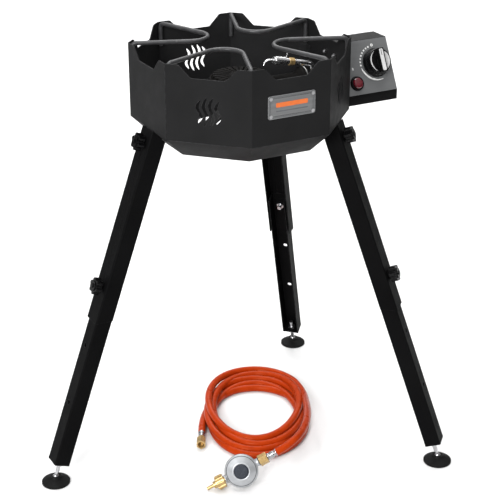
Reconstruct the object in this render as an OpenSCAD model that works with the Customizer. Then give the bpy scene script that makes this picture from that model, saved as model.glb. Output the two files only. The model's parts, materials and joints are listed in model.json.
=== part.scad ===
// Propane burner stand: an octagonal windscreen on three telescoping legs,
// with a side control box, a cast burner and a gas hose with its regulator.
// The badge panel faces -Y, the control box +X, and the floor is z = 0.

/* [Windscreen] */
// Width of the octagon across its corners
across_corners = 400; // [360:5:420]
// Height of the rim above the floor
rim_height = 805; // [780:5:840]
// Height of the vertical wall
wall_height = 135; // [125:5:145]
// Thickness of the sheet steel
sheet = 2; // [1.5:0.5:2.5]
// Depth of the notch in each panel's top edge
notch_depth = 21.5; // [14:0.5:24]
// Diameter of the round field that holds the heat slots
slot_field = 53; // [40:1:56]

/* [Pot rests] */
// Diameter of the bent rod
rod_d = 8; // [6:0.5:9]
// Angle between each arm and the panel's normal
rod_splay = 24; // [22:1:26]
// Bend radius at the tip
rod_tip_bend = 35; // [30:1:38]

/* [Legs] */
// Tilt of each leg from vertical
leg_tilt = 19.43; // [18.5:0.1:20.5]
// Width of the outer channel
outer_w = 43.2; // [42:0.2:46]
// Width of the inner channel
inner_w = 34.8; // [32:0.2:36]
// Length of the inner channel
inner_len = 384; // [360:2:400]
// Distance between the height holes
hole_pitch = 116; // [110:1:116]
// Diameter of a levelling pad
pad_d = 53; // [46:1:60]

/* [Control box] */
// Length of the box out from the windscreen
box_len = 107.5; // [103:0.5:114]
// Height of the box
box_h = 108; // [104:1:112]
// Diameter of the gas knob
knob_d = 54; // [46:1:56]

/* [Burner] */
// Diameter of the burner head
head_d = 112; // [100:2:120]
// Number of flame ports around the head
ports = 24; // [16:2:30]

/* [Hose] */
// Outer diameter of the hose
hose_d = 14.4; // [12:0.2:14.4]
// Diameter of the regulator
regulator_d = 63; // [58:1:66]

/* [Hidden] */
$fn = 64;

big = 900;
gap = 0.3;
run_fit = 0.08;

// windscreen
apothem = across_corners / 2 * cos(22.5);
panel_w = across_corners * sin(22.5);
wall_bottom = rim_height - wall_height;
bend_r = 4;
slot_z = rim_height - 78.5;
seam_gap = 0.6;
seam_yaws = [202.5, 22.5];
lap_h = 68;
pan_drop = 38;
pan_floor = wall_bottom - pan_drop;
pan_hole_d = 216;
pan_lip = 15;
strap_t = 3;
strap_bolts = [-121, 121];
strap_end = 134;
strap_foot = 98;

// badge, centred on the front panel
badge_w = 92;
badge_h = 41;
badge_z = rim_height - 69;
rivet_inset = 5;

// legs: yaw of each leg's outward direction, in the order right, rear, left
leg_yaw = [-45, 45, 180];
leg_root = apothem + 0.9;
leg_wall = 2;
outer_depth = 31.2;
inner_depth = 29.7;
outer_end_z = rim_height - 485;
inner_top = 275;
inner_end = inner_top + inner_len;
top_knob_s = 28;
height_knob_s = 304;
bolt_r = 4;
bracket_end = 41;
stud_depth = 20;
end_plate = 3;
ball_r = 6;
ball_z = 13;
ball_s = (wall_bottom - ball_z - stud_depth * sin(leg_tilt)) / cos(leg_tilt);
foot_reach = leg_root + ball_s * sin(leg_tilt) - stud_depth * cos(leg_tilt);

// the stand's vertical axis, set so that the feet are centred on the origin in X
axis_x = foot_reach * (1 - cos(45)) / 2;

// control box: profile in YZ
box_x = apothem + gap;
box_front = -71;
box_back = 16.5;
box_bottom = rim_height - 133;
lip_h = 18;
box_top = box_bottom + box_h;
lip_top = box_bottom + lip_h;
face_run = 46;
face_rise = box_h - lip_h;
lean = atan2(face_run, face_rise);
face_len = norm([face_run, face_rise]);
box_wall = 1.5;
fascia_t = 1.2;
fascia_inset = 0.8;
knob_x = box_x + 72.4;
knob_v = 55;
button_x = box_x + 23.9;
button_v = 22;
valve_depth = 51.6;
inlet_y = -14;
inlet_r = 6.5;
inlet_len = 16;
screw_y = 4;
screw_xs = [box_x + 16, box_x + box_len - 12];

// bolts that hold the box to its panel: Y, and height below the rim
box_bolts = [[-52, 110], [-14, 110], [-24, 48], [9, 48]];
bolt_hole = 2.6;
pipe_hole = 6;

// burner
gas_z = lip_top + knob_v * cos(lean) - valve_depth * sin(lean);
head_top = rim_height - 63;
tube_end = 128;
tube_r = 13.4;
bore_r = 10.5;
mouth_r = 22;

// igniter assembly: above the mixing tube, climbing towards the burner
igniter_y = 9.2;
igniter_rise = 12;
conduit_r = 5.4;
conduit_bend = 14;
conduit_x = 156;
conduit_low = gas_z - 12.5;
conduit_top = gas_z + 11;

// hose coil: one ring round all its turns, with an oval outline and an oval hole
view_yaw = -28.3;
hose_r = hose_d / 2;
coil_centre = [31.6, 55];
coil_half = [108.6, 168];
hole_centre = [30, 48.5];
hole_half = [77.5, 105];
coil_h = 41;
regulator_pos = [1, -203, 35];
regulator_roll = 28;
regulator_lean = 23.7;
ferrule_end = 71;
regulator_dir = [
    cos(regulator_roll), sin(regulator_roll) * sin(regulator_lean), sin(regulator_roll) * cos(regulator_lean)
];
stove_tail = [
    [-62.7, 63.5, 7.3], [-66.8, 51, 7.4], [-70.6, 38.4, 7.6], [-74, 25.6, 8], [-76.7, 12.6, 8.4],
    [-78.6, -1, 8.9], [-79.4, -15, 9.6], [-79, -29, 10.2]
];
regulator_tail = [
    [129, 80, 30], [129, 52, 38.4], [129.5, 23, 46.8], [130, -6, 54.9], [129.5, -35, 62.5],
    [128.5, -63, 69.2], [126, -89.5, 74.6], [122, -114.5, 78.6], [116, -136.5, 80.8], [107.5, -156, 80.9],
    regulator_pos + (ferrule_end + 18) * regulator_dir, regulator_pos + ferrule_end * regulator_dir
];

// ---------- geometry helpers ----------

function unit(v) = v / norm(v);

function turn(a) = a > 180 ? a - 360 : a < -180 ? a + 360 : a;

// arc that rounds the corner b between a and c
function corner_arc(a, b, c, r, n) =
    let(u = unit(a - b), v = unit(c - b), half = acos(u * v) / 2)
    let(centre = b + unit(u + v) * r / sin(half), reach = r / tan(half))
    let(p = b + u * reach - centre, q = b + v * reach - centre)
    let(start = atan2(p.y, p.x), sweep = turn(atan2(q.y, q.x) - start))
    [for (i = [0:n]) centre + r * [cos(start + sweep * i / n), sin(start + sweep * i / n)]];

// outline with every corner rounded, to the radius given for each corner
function rounded(points, radii, n = 5) =
    let(count = len(points))
    [for (i = [0:count - 1])
        each radii[i] > 0
            ? corner_arc(points[(i + count - 1) % count], points[i], points[(i + 1) % count], radii[i], n)
            : [points[i]]];

module at_axis() {
    translate([axis_x, 0, 0]) children();
}

// +X of a panel's frame is the panel's outward normal
module at_panel(k) {
    at_axis() rotate([0, 0, 45 * k - 90]) children();
}

module at_leg_yaw(i) {
    at_axis() rotate([0, 0, leg_yaw[i]]) children();
}

// leg frame: +X out of the leg's outer face, +Z up along the leg
module leg_frame() {
    translate([leg_root, 0, wall_bottom]) rotate([0, -leg_tilt, 0]) children();
}

module at_leg(i) {
    at_leg_yaw(i) leg_frame() children();
}

// fascia frame: +X along the box, +Y up the leaning face, +Z out of it
module at_fascia(x, v) {
    at_axis() translate([x, box_front, lip_top]) rotate([90 - lean, 0, 0]) translate([0, v, 0]) children();
}

module at_igniter(along) {
    at_axis()
        translate([conduit_x - conduit_bend, igniter_y, conduit_top])
            rotate([0, igniter_rise - 90, 0])
                translate([conduit_bend, 0, along]) children();
}

// hose frame: centred under the stand and turned to lie square to the coil
module at_hose() {
    at_axis() rotate([0, 0, view_yaw]) children();
}

// +X of the regulator's frame points into the hose, -Y out of its face
module at_regulator() {
    at_hose() translate(regulator_pos)
        rotate([-regulator_lean, 0, 0]) rotate([0, -regulator_roll, 0]) children();
}

// stove end of the hose: +X out of the hose
module at_stove_end() {
    at_hose() translate(stove_tail[len(stove_tail) - 1]) rotate([0, 0, -90]) children();
}

// cylinder along +X
module rod_x(r, from, to) {
    translate([from, 0, 0]) rotate([0, 90, 0]) cylinder(r = r, h = to - from);
}

module hex_x(flats, from, to) {
    translate([from, 0, 0]) rotate([0, 90, 0]) cylinder(d = flats / cos(30), h = to - from, $fn = 6);
}

// closed tube swept along points, with a ring of sides at each
module sweep_tube(points, r, sides) {
    last = len(points) - 1;
    dir = [for (i = [0:last])
        unit(points[min(i + 1, last)] - points[max(i - 1, 0)])];
    side = [for (i = 0, s = unit(cross(dir[0], [3, 5, 8])); i <= last;
        i = i + 1, s = i <= last ? unit(s - (s * dir[i]) * dir[i]) : s) s];
    ring = [for (i = [0:last])
        let(up = cross(side[i], dir[i]))
        each [for (k = [0:sides - 1])
            points[i] + r * (cos(360 * k / sides) * side[i] + sin(360 * k / sides) * up)]];
    faces = concat(
        [[for (k = [0:sides - 1]) k]],
        [[for (k = [sides - 1:-1:0]) last * sides + k]],
        [for (i = [0:last - 1]) for (k = [0:sides - 1])
            let(n = (k + 1) % sides)
            [i * sides + k, (i + 1) * sides + k, (i + 1) * sides + n, i * sides + n]]);
    polyhedron(points = ring, faces = faces, convexity = 4);
}

// ---------- windscreen ----------

module rounded_octagon(a) {
    centre_r = (a - bend_r) / cos(22.5);
    polygon([for (k = [0:7]) for (side = [-1, 1])
        let(yaw = 45 * k + 22.5, face = yaw + side * 22.5)
        centre_r * [cos(yaw), sin(yaw)] + bend_r * [cos(face), sin(face)]]);
    for (k = [0:7])
        rotate(45 * k + 22.5) translate([centre_r, 0]) circle(r = bend_r);
}

module wall_ring() {
    translate([0, 0, wall_bottom]) linear_extrude(wall_height) difference() {
        rounded_octagon(apothem);
        rounded_octagon(apothem - sheet);
    }
}

// notch outline: X across the panel, Y down from the rim
module notch_outline() {
    floor_half = 0.2 * panel_w;
    mouth_half = 0.34 * panel_w;
    polygon(rounded(
        [[-mouth_half - 14, 6], [-mouth_half - 14, 0.01], [-mouth_half, 0], [-floor_half, -notch_depth],
         [floor_half, -notch_depth], [mouth_half, 0], [mouth_half + 14, 0.01], [mouth_half + 14, 6]],
        [0, 0, 7, 6, 6, 7, 0, 0]));
}

// one heat slot: an S that tapers to both ends
module wave_slot(h) {
    steps = 18;
    half_w = 2.8;
    swing = 3.4;
    middle = [for (i = [0:steps]) let(u = 2 * i / steps - 1) [-swing * sin(225 * u), u * h / 2]];
    width = [for (i = [0:steps]) let(u = abs(2 * i / steps - 1)) half_w * (1 - pow(u, 5)) + 0.15];
    polygon(concat(
        [for (i = [0:steps]) middle[i] - [width[i], 0]],
        [for (i = [steps:-1:0]) middle[i] + [width[i], 0]]));
}

module heat_slots() {
    for (x = [-16.5, -5.5, 5.5, 16.5])
        translate([x, 0]) wave_slot(2 * sqrt(pow(slot_field / 2, 2) - x * x));
}

// cuts an outline, drawn in the panel's own plane, through that panel
module through_panel(k, z) {
    rotate([0, 0, 45 * k - 90])
        translate([apothem - 12, 0, z]) rotate([90, 0, 90]) linear_extrude(24) children();
}

module windscreen_wall() {
    difference() {
        wall_ring();
        for (k = [0:7])
            through_panel(k, rim_height) notch_outline();
        for (k = [1, 4, 7])
            through_panel(k, slot_z) heat_slots();
    }
}

// half-plane on one side of the two seams
module seam_side(side) {
    rotate([0, 0, 22.5])
        translate([-big / 2, side > 0 ? seam_gap / 2 : -big - seam_gap / 2, 0]) cube([big, big, big]);
}

// holes through the panel and the box's end for the bolts, the pipe and the conduit
module box_panel_holes() {
    for (p = box_bolts)
        translate([apothem, p.x, rim_height - p.y]) rod_x(bolt_hole, -6, 6);
    translate([apothem, 0, gas_z]) rod_x(pipe_hole, -6, 6);
    translate([apothem, igniter_y, conduit_low]) rod_x(conduit_r + 1, -6, 6);
}

module windscreen_front() {
    color("#2c2c2e") at_axis() difference() {
        intersection() {
            windscreen_wall();
            seam_side(-1);
        }
        box_panel_holes();
    }
}

module seam_lap(yaw) {
    translate([0, 0, wall_bottom + pan_lip + 2]) linear_extrude(lap_h) intersection() {
        difference() {
            rounded_octagon(apothem - sheet);
            rounded_octagon(apothem - sheet - 1.5);
        }
        rotate(yaw) translate([apothem - 10, -12]) square([30, 24]);
    }
}

module windscreen_rear() {
    color("#3a3a3c") at_axis() {
        intersection() {
            windscreen_wall();
            seam_side(1);
        }
        for (yaw = seam_yaws)
            seam_lap(yaw);
    }
}

module frame_bolts() {
    color("silver") at_axis() {
        for (p = box_bolts)
            translate([apothem, p.x, rim_height - p.y]) {
                rod_x(bolt_hole - 0.1, -7, 4.4);
                hex_x(8, -sheet - 3.6, -sheet - 0.1);
                rod_x(4.4, 1.9, 4.4);
            }
        for (x = strap_bolts)
            translate([x, 0, pan_floor]) {
                translate([0, 0, -3]) cylinder(r = bolt_hole - 0.1, h = 12);
                translate([0, 0, sheet + strap_t + 0.1]) cylinder(d = 8 / cos(30), h = 3.5, $fn = 6);
                translate([0, 0, -3]) cylinder(r = 4.5, h = 2.9);
            }
    }
}

module base_pan() {
    slope_len = pan_drop * sqrt(2);
    color("#303032") at_axis() difference() {
        union() {
            for (k = [0:7])
                rotate([0, 0, 45 * k]) intersection() {
                    translate([apothem, 0, wall_bottom]) rotate([0, 45, 0])
                        translate([-sheet, -panel_w, -slope_len - 4])
                            cube([sheet, 2 * panel_w, slope_len + 8]);
                    translate([0, 0, pan_floor]) linear_extrude(pan_drop)
                        polygon([[0, 0], [big, -big * tan(22.5)], [big, big * tan(22.5)]]);
                }
            translate([0, 0, pan_floor]) linear_extrude(sheet)
                rotate(22.5) circle(r = (apothem - pan_drop) / cos(22.5) - 0.01, $fn = 8);
        }
        translate([0, 0, pan_floor - 1]) cylinder(d = pan_hole_d, h = 6);
        for (x = strap_bolts)
            translate([x, 0, pan_floor - 1]) cylinder(r = bolt_hole, h = 6);
    }
    color("#303032") at_axis() translate([0, 0, wall_bottom - sheet * 1.2]) linear_extrude(pan_lip)
        difference() {
            rounded_octagon(apothem - sheet - gap);
            rounded_octagon(apothem - 2 * sheet - gap);
        }
}

// ---------- pot rests ----------

// points on an arc about centre, from the direction u towards the direction v
function arc_points(centre, r, u, v, sweep, n) =
    [for (i = [0:n]) centre + r * (cos(sweep * i / n) * u + sin(sweep * i / n) * v)];

// U-shaped rod that joins the two corners of a panel and turns down into them
module pot_rest(k) {
    r = rod_d / 2;
    corner_in = (apothem - sheet) / cos(22.5) - r / cos(22.5) - gap;
    end_n = corner_in * cos(22.5);
    end_t = corner_in * sin(22.5);
    apex = end_n - end_t / tan(rod_splay);
    bend_n = apex + rod_tip_bend / sin(rod_splay);
    drop_bend = 9;
    arm_to = norm([end_n - apex, end_t]) - drop_bend;
    leg_len = 34;
    arm = [cos(rod_splay), sin(rod_splay), 0];
    drop_centre = [apex, 0, -drop_bend] + arm_to * arm;
    down = [0, 0, -leg_len];
    half = concat(
        arc_points([bend_n, 0, 0], rod_tip_bend, [-1, 0, 0], [0, 1, 0], 90 - rod_splay, 7),
        arc_points(drop_centre, drop_bend, [0, 0, 1], arm, 90, 5),
        [drop_centre + drop_bend * arm + down]);
    last = len(half) - 1;
    route = concat([for (i = [last:-1:1]) [half[i].x, -half[i].y, half[i].z]], half);
    color("#5a5a5c") at_panel(k) translate([0, 0, rim_height - 1.5]) sweep_tube(route, r, 12);
}

module pot_rest_front_left() {
    pot_rest(7);
}

module pot_rest_front_right() {
    pot_rest(1);
}

module pot_rest_rear_right() {
    pot_rest(3);
}

module pot_rest_rear_left() {
    pot_rest(5);
}

// ---------- burner ----------

// hat-shaped strap that carries the burner over the hole in the pan
module burner_strap() {
    t = strap_t;
    low = pan_floor + sheet;
    high = head_top - 63;
    color("#232325") at_axis() difference() {
        translate([0, 15, 0]) rotate([90, 0, 0]) linear_extrude(30) polygon([
            [-strap_end, low], [-strap_foot, low], [-34, high - t], [34, high - t], [strap_foot, low],
            [strap_end, low], [strap_end, low + t], [strap_foot + 1, low + t], [35, high],
            [-35, high], [-strap_foot - 1, low + t], [-strap_end, low + t]]);
        for (x = strap_bolts)
            translate([x, 0, low - 1]) cylinder(r = bolt_hole, h = 6);
    }
}

module burner_bowl() {
    r = head_d / 2 - 3;
    base = head_top - 63;
    color("#1f1f20") at_axis() difference() {
        union() {
            rotate_extrude() polygon([
                [0, base], [24, base], [r - 12, base + 22], [r, base + 34], [r, base + 50], [0, base + 50]]);
            translate([0, 0, gas_z]) {
                rod_x(tube_r, 20, tube_end - 14);
                translate([tube_end - 14, 0, 0]) rotate([0, 90, 0])
                    rotate_extrude() polygon([[0, 0], [tube_r, 0], [mouth_r, 8], [mouth_r, 14], [0, 14]]);
            }
        }
        rotate_extrude() polygon([
            [0, base + 5], [21, base + 5], [r - 16, base + 24],
            [r - 4, base + 36], [r - 4, base + 51], [0, base + 51]]);
        translate([0, 0, gas_z]) rod_x(bore_r, 10, tube_end + 1);
        translate([tube_end - 8, 0, gas_z]) rotate([0, 90, 0]) cylinder(r1 = bore_r, r2 = mouth_r - 4, h = 8.01);
    }
}

module burner_cap() {
    low = head_top - 12.8;
    color("#2a2a2b") at_axis() difference() {
        union() {
            translate([0, 0, low]) cylinder(r = head_d / 2, h = 6);
            translate([0, 0, low + 5]) cylinder(r1 = head_d / 2 - 1, r2 = head_d / 2 - 6, h = 7.8);
        }
        for (i = [0:ports - 1])
            rotate([0, 0, (i + 0.5) * 360 / ports])
                translate([20, -1.6, head_top - 5.5]) cube([60, 3.2, 8]);
        translate([0, 0, head_top - 3]) cylinder(r = 12, h = 5);
    }
}

// slotted disc that turns on the mixing tube's mouth to meter the air
module air_shutter() {
    color("#9a9a9c") at_axis() translate([0, 0, gas_z]) difference() {
        rod_x(mouth_r + 1.5, tube_end + gap, tube_end + 2.3);
        rod_x(5 + run_fit, tube_end - 1, tube_end + 5);
        for (a = [45, 135, 225, 315])
            rotate([a, 0, 0]) translate([0, 0, 13]) rod_x(4.5, tube_end - 1, tube_end + 5);
    }
}

module gas_jet() {
    color("goldenrod") at_axis() translate([0, 0, gas_z]) difference() {
        union() {
            rod_x(5, tube_end - 10, tube_end + 8);
            hex_x(14, tube_end + 3, tube_end + 12);
        }
        rod_x(0.9, tube_end - 11, tube_end);
    }
}

// straight pipe from the valve's outlet to the jet
module supply_pipe() {
    color("silver") at_axis() translate([0, 0, gas_z]) rod_x(3.3, tube_end + 12, knob_x - 13);
}

// ---------- igniter ----------

// bent tube: in from the box, up, and over towards the burner
module igniter_conduit() {
    c = conduit_bend;
    over = [-cos(igniter_rise), 0, sin(igniter_rise)];
    route = concat(
        [[box_x + 8, 0, conduit_low]],
        arc_points([conduit_x + c, 0, conduit_low + c], c, [0, 0, -1], [-1, 0, 0], 90, 6),
        arc_points([conduit_x - c, 0, conduit_top], c, [1, 0, 0], [0, 0, 1], 90 - igniter_rise, 6));
    end = route[len(route) - 1] + 30 * over;
    color("#d8d8da") at_axis() translate([0, igniter_y, 0]) sweep_tube(concat(route, [end]), conduit_r, 12);
}

module igniter_nut() {
    color("goldenrod") at_igniter(30) cylinder(d = 15, h = 11, $fn = 6);
}

module igniter_holder() {
    color("#c9c9cc") {
        at_igniter(41) cylinder(r = 6, h = 8);
        at_igniter(49) cylinder(r = 7.5, h = 22);
        at_igniter(71) cylinder(r = 5.5, h = 4);
        at_igniter(47) rotate([0, 90, 0]) cylinder(r = 1.5, h = 15);
    }
}

// spark electrode and flame probe, side by side, reaching over the burner
module electrodes() {
    color("#bdbdc0") for (side = [-1, 1])
        at_igniter(75) translate([0, side * 3, 0]) cylinder(r = 1.1, h = side > 0 ? 26 : 21);
}

// ---------- legs ----------

module channel_outline(w, depth, t) {
    outer_bend = t + 1;
    difference() {
        union() {
            translate([-depth, -w / 2]) square([depth - outer_bend, w]);
            translate([-depth, -w / 2 + outer_bend]) square([depth, w - 2 * outer_bend]);
            for (side = [-1, 1])
                translate([-outer_bend, side * (w / 2 - outer_bend)]) circle(r = outer_bend);
        }
        translate([-depth - 1, -w / 2 + t]) square([depth + 1 - t - 1, w - 2 * t]);
        translate([-depth, -w / 2 + t + 1]) square([depth - t, w - 2 * t - 2]);
        for (side = [-1, 1])
            translate([-t - 1, side * (w / 2 - t - 1)]) circle(r = 1);
    }
}

// everything nearer to the pan's sloping side than clear
module inside_pan(clear) {
    translate([apothem, 0, wall_bottom]) rotate([0, 45, 0])
        translate([clear - big, -big / 2, -big / 2]) cube(big);
}

module leg_brackets() {
    color("#2a2a2c") for (i = [0:2])
        at_leg_yaw(i) difference() {
            leg_frame() difference() {
                union() {
                    translate([-5.6, -18, -bracket_end]) cube([3.3, 36, bracket_end + 8]);
                    for (y = [-18, 15])
                        translate([-25, y, -34]) cube([22.7, 3, 50]);
                    translate([0, 0, -top_knob_s]) hex_x(13, -12, -5);
                }
                translate([0, 0, -top_knob_s]) rod_x(bolt_r + run_fit, -14, 0);
                translate([-60, -30, -90]) rotate([0, -35, 0]) cube([60, 60, 60]);
            }
            inside_pan(0);
        }
}

module outer_leg(i) {
    color("#1c1c1e") at_leg_yaw(i) difference() {
        leg_frame() difference() {
            translate([0, 0, -400]) linear_extrude(420) channel_outline(outer_w, outer_depth, leg_wall);
            for (s = [top_knob_s, height_knob_s])
                translate([0, 0, -s]) rod_x(bolt_r + run_fit, -4, 2);
        }
        inside_pan(1);
        translate([0, -50, outer_end_z - 300]) cube([big, 100, 300]);
    }
}

module outer_leg_right() {
    outer_leg(0);
}

module outer_leg_rear() {
    outer_leg(1);
}

module outer_leg_left() {
    outer_leg(2);
}

module inner_leg(i) {
    face = leg_wall + gap;
    color("#202022") at_leg(i) difference() {
        union() {
            translate([-face, 0, -inner_end]) linear_extrude(inner_len)
                channel_outline(inner_w, inner_depth, leg_wall);
            translate([-face - inner_depth, -inner_w / 2 + 0.5, -inner_end])
                cube([inner_depth - 0.5, inner_w - 1, end_plate]);
        }
        for (n = [0:2])
            translate([0, 0, -height_knob_s - n * hole_pitch]) rod_x(bolt_r + 0.3, -8, 0);
        translate([-stud_depth, 0, -inner_end - 1]) cylinder(r = bolt_r + run_fit, h = end_plate + 2);
    }
}

module inner_leg_right() {
    inner_leg(0);
}

module inner_leg_rear() {
    inner_leg(1);
}

module inner_leg_left() {
    inner_leg(2);
}

// six-lobed hand knob with its bolt: +X is out of the leg
module hand_knob(bolt_len) {
    rod_x(9, gap, 5);
    translate([4, 0, 0]) rotate([0, 90, 0]) linear_extrude(12) {
        circle(r = 12);
        for (a = [15:60:315])
            rotate(a) translate([11.4, 0]) circle(r = 4.4);
    }
    rod_x(9.5, 15, 18);
    rod_x(bolt_r, -bolt_len, 20);
}

module top_knob(i) {
    color("#141415") at_leg(i) translate([0, 0, -top_knob_s]) hand_knob(14);
}

module height_knob(i) {
    color("#141415") at_leg(i) translate([0, 0, -height_knob_s]) hand_knob(leg_wall);
}

module top_knob_right() {
    top_knob(0);
}

module top_knob_rear() {
    top_knob(1);
}

module top_knob_left() {
    top_knob(2);
}

module height_knob_right() {
    height_knob(0);
}

module height_knob_rear() {
    height_knob(1);
}

module height_knob_left() {
    height_knob(2);
}

// the locking bolt's nut and end inside the inner leg, and the foot's two lock nuts
module leg_fixings(i) {
    web = leg_wall + gap + leg_wall;
    color("#a8a8aa") at_leg(i) {
        translate([0, 0, -height_knob_s]) {
            hex_x(13, -web - 6.5, -web);
            rod_x(bolt_r, -web - 14, -web - 6);
        }
        for (z = [-inner_end - 6.5, -inner_end + end_plate])
            translate([-stud_depth, 0, z]) difference() {
                cylinder(d = 13 / cos(30), h = 6.5, $fn = 6);
                translate([0, 0, -1]) cylinder(r = bolt_r + run_fit, h = 9);
            }
    }
}

module leg_fixings_right() {
    leg_fixings(0);
}

module leg_fixings_rear() {
    leg_fixings(1);
}

module leg_fixings_left() {
    leg_fixings(2);
}

module foot_stud(i) {
    color("#b9b9bb") at_leg(i) translate([-stud_depth, 0, -ball_s]) {
        sphere(r = ball_r);
        cylinder(r = 3, h = 14);
        translate([0, 0, 12]) cylinder(r = bolt_r, h = ball_s - inner_end + 10);
    }
}

module foot_stud_right() {
    foot_stud(0);
}

module foot_stud_rear() {
    foot_stud(1);
}

module foot_stud_left() {
    foot_stud(2);
}

module foot_pad(i) {
    r = pad_d / 2;
    top = ball_z + 2;
    color("#111112") at_leg_yaw(i) translate([foot_reach, 0, 0]) difference() {
        rotate_extrude() polygon([
            [0, 0], [r - 0.8, 0], [r, 0.8], [r, 4.5], [r - 1, 5.5], [12, 12.5], [10.5, top], [0, top]]);
        translate([0, 0, ball_z]) sphere(r = ball_r + gap);
    }
}

module foot_pad_right() {
    foot_pad(0);
}

module foot_pad_rear() {
    foot_pad(1);
}

module foot_pad_left() {
    foot_pad(2);
}

// ---------- badge ----------

module badge_plate() {
    w = badge_w / 2;
    h = badge_h / 2;
    color("#b4b6b8") at_panel(0) translate([apothem + 0.02, 0, badge_z])
        rotate([90, 0, 90]) linear_extrude(1.2) difference() {
            polygon(rounded([[-w, -h], [w, -h], [w, h], [-w, h]], [4, 4, 4, 4]));
            for (x = [-1, 1]) for (y = [-1, 1])
                translate([x * (w - rivet_inset), y * (h - rivet_inset)]) circle(r = 1.6);
        }
}

module badge_rivets() {
    color("silver") at_panel(0) translate([apothem, 0, badge_z])
        for (y = [-1, 1]) for (z = [-1, 1])
            translate([0, y * (badge_w / 2 - rivet_inset), z * (badge_h / 2 - rivet_inset)]) {
                rod_x(1.55, 0.02, 2);
                rod_x(3.2, 1.3, 2.4);
            }
}

// ---------- control box ----------

// profile of the box in YZ, shrunk by inset on every side
module box_profile(inset) {
    slope = [sin(lean), cos(lean)];
    base = [box_front, lip_top] + inset * [cos(lean), -sin(lean)];
    low_y = box_front + inset;
    high_z = box_top - inset;
    polygon([
        [low_y, box_bottom + inset], [box_back - inset, box_bottom + inset], [box_back - inset, high_z],
        base + slope * (high_z - base.y) / slope.y,
        base + slope * (low_y - base.x) / slope.x]);
}

module box_solid(inset, from, to) {
    translate([from, 0, 0]) rotate([90, 0, 90]) linear_extrude(to - from) box_profile(inset);
}

// folded shell: top, back, front lip and both ends; open below and in front
module control_housing() {
    color("#19191a") difference() {
        at_axis() difference() {
            box_solid(0, box_x, box_x + box_len);
            box_solid(box_wall, box_x + box_wall, box_x + box_len - box_wall);
            translate([box_x + box_wall, box_front + box_wall, box_bottom - 1])
                cube([box_len - 2 * box_wall, box_back - box_front - 2 * box_wall, 4]);
            box_panel_holes();
        }
        at_fascia(box_x + 8, 6) translate([0, 0, -4]) cube([box_len - 16, face_len - 16, 8]);
    }
}

module control_floor() {
    color("#202021") at_axis() difference() {
        translate([box_x + box_wall + gap, box_front + box_wall + gap, box_bottom])
            cube([box_len - 2 * (box_wall + gap), box_back - box_front - 2 * (box_wall + gap), 1.5]);
        translate([knob_x, inlet_y, box_bottom - 1]) cylinder(r = inlet_r + gap, h = 4);
        for (x = screw_xs)
            translate([x, screw_y, box_bottom - 1]) cylinder(r = 1.8, h = 4);
    }
}

module control_fascia() {
    w = box_len - 2 * fascia_inset;
    h = face_len - 2 * fascia_inset;
    color("#8d9092") at_fascia(box_x, 0) difference() {
        translate([fascia_inset, fascia_inset, 0.02]) linear_extrude(fascia_t)
            polygon(rounded([[0, 0], [w, 0], [w, h], [0, h]], [1.5, 1.5, 1.5, 1.5]));
        translate([knob_x - box_x, knob_v, -1]) cylinder(r = 7, h = 5);
        translate([button_x - box_x, button_v, -1]) cylinder(r = 11.6, h = 5);
    }
}

// tap body behind the fascia, with its outlet stub towards the burner
module gas_valve() {
    color("#b9a26a") {
        at_fascia(knob_x, knob_v) difference() {
            union() {
                translate([0, 0, -valve_depth - 6]) cylinder(r = 12, h = valve_depth - 8);
                translate([0, 0, -16]) cylinder(r = 6, h = 16);
            }
            translate([0, 0, -13]) cylinder(r = 3 + run_fit, h = 14);
        }
        at_axis() translate([knob_x, inlet_y, box_bottom + 12]) cylinder(r = 6, h = 32);
    }
}

// push-fit knob: skirt, raised grip bar and the spindle behind it
module gas_knob() {
    r = knob_d / 2;
    color("#0c0c0d") at_fascia(knob_x, knob_v) {
        translate([0, 0, -12.5]) cylinder(r = 3, h = 15);
        rotate_extrude() polygon([
            [0, 2], [r, 2], [r, 5], [r - 1.5, 7], [r - 3, 18], [r - 4.5, 20], [0, 20]]);
        translate([-6, -r + 5, 19]) cube([12, 2 * r - 10, 10]);
    }
}

module igniter_case() {
    color("#0e0e0f") at_fascia(button_x, button_v) difference() {
        union() {
            translate([0, 0, -38]) cylinder(r = 11.3, h = 40);
            translate([0, 0, fascia_t + 0.1]) cylinder(r1 = 13.8, r2 = 12.6, h = 4);
        }
        translate([0, 0, -13]) cylinder(r = 10.2, h = 20);
    }
}

module igniter_button() {
    color("#8e0f1c") at_fascia(button_x, button_v)
        rotate_extrude() polygon([[0, -6], [9.8, -6], [9.8, 7], [8.6, 8.6], [5, 9.6], [0, 10]]);
}

module box_screws() {
    color("#9c9c9e") at_axis() for (x = screw_xs)
        translate([x, screw_y, box_bottom]) {
            translate([0, 0, -1.8]) cylinder(r = 3.4, h = 1.7);
            translate([0, 0, -1]) cylinder(r = 1.6, h = 9);
        }
}

// flare stub that the hose's nut screws onto
module gas_inlet() {
    color("goldenrod") at_axis() translate([knob_x, inlet_y, 0]) {
        translate([0, 0, box_bottom - inlet_len]) cylinder(r = inlet_r, h = inlet_len);
        translate([0, 0, box_bottom - inlet_len - 3]) cylinder(r1 = 4, r2 = inlet_r - 0.5, h = 3.01);
        translate([0, 0, box_bottom - 0.1]) cylinder(r = inlet_r - 0.5, h = 4);
        translate([0, 0, box_bottom + 1.8]) cylinder(d = 20 / cos(30), h = 10.2, $fn = 6);
    }
}

// ---------- hose and regulator ----------

module oval(a, b) {
    steps = 48;
    polygon([for (i = [0:steps - 1]) [a * cos(360 * i / steps), b * sin(360 * i / steps)]]);
}

// outer shape of the turns, which lie on each other as one ring
module hose_coil() {
    color("#d2451e") at_hose() linear_extrude(coil_h) difference() {
        translate(coil_centre) oval(coil_half.x, coil_half.y);
        translate(hole_centre) oval(hole_half.x, hole_half.y);
    }
}

module hose_tail_stove() {
    color("#d2451e") at_hose() sweep_tube(stove_tail, hose_r, 10);
}

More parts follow.
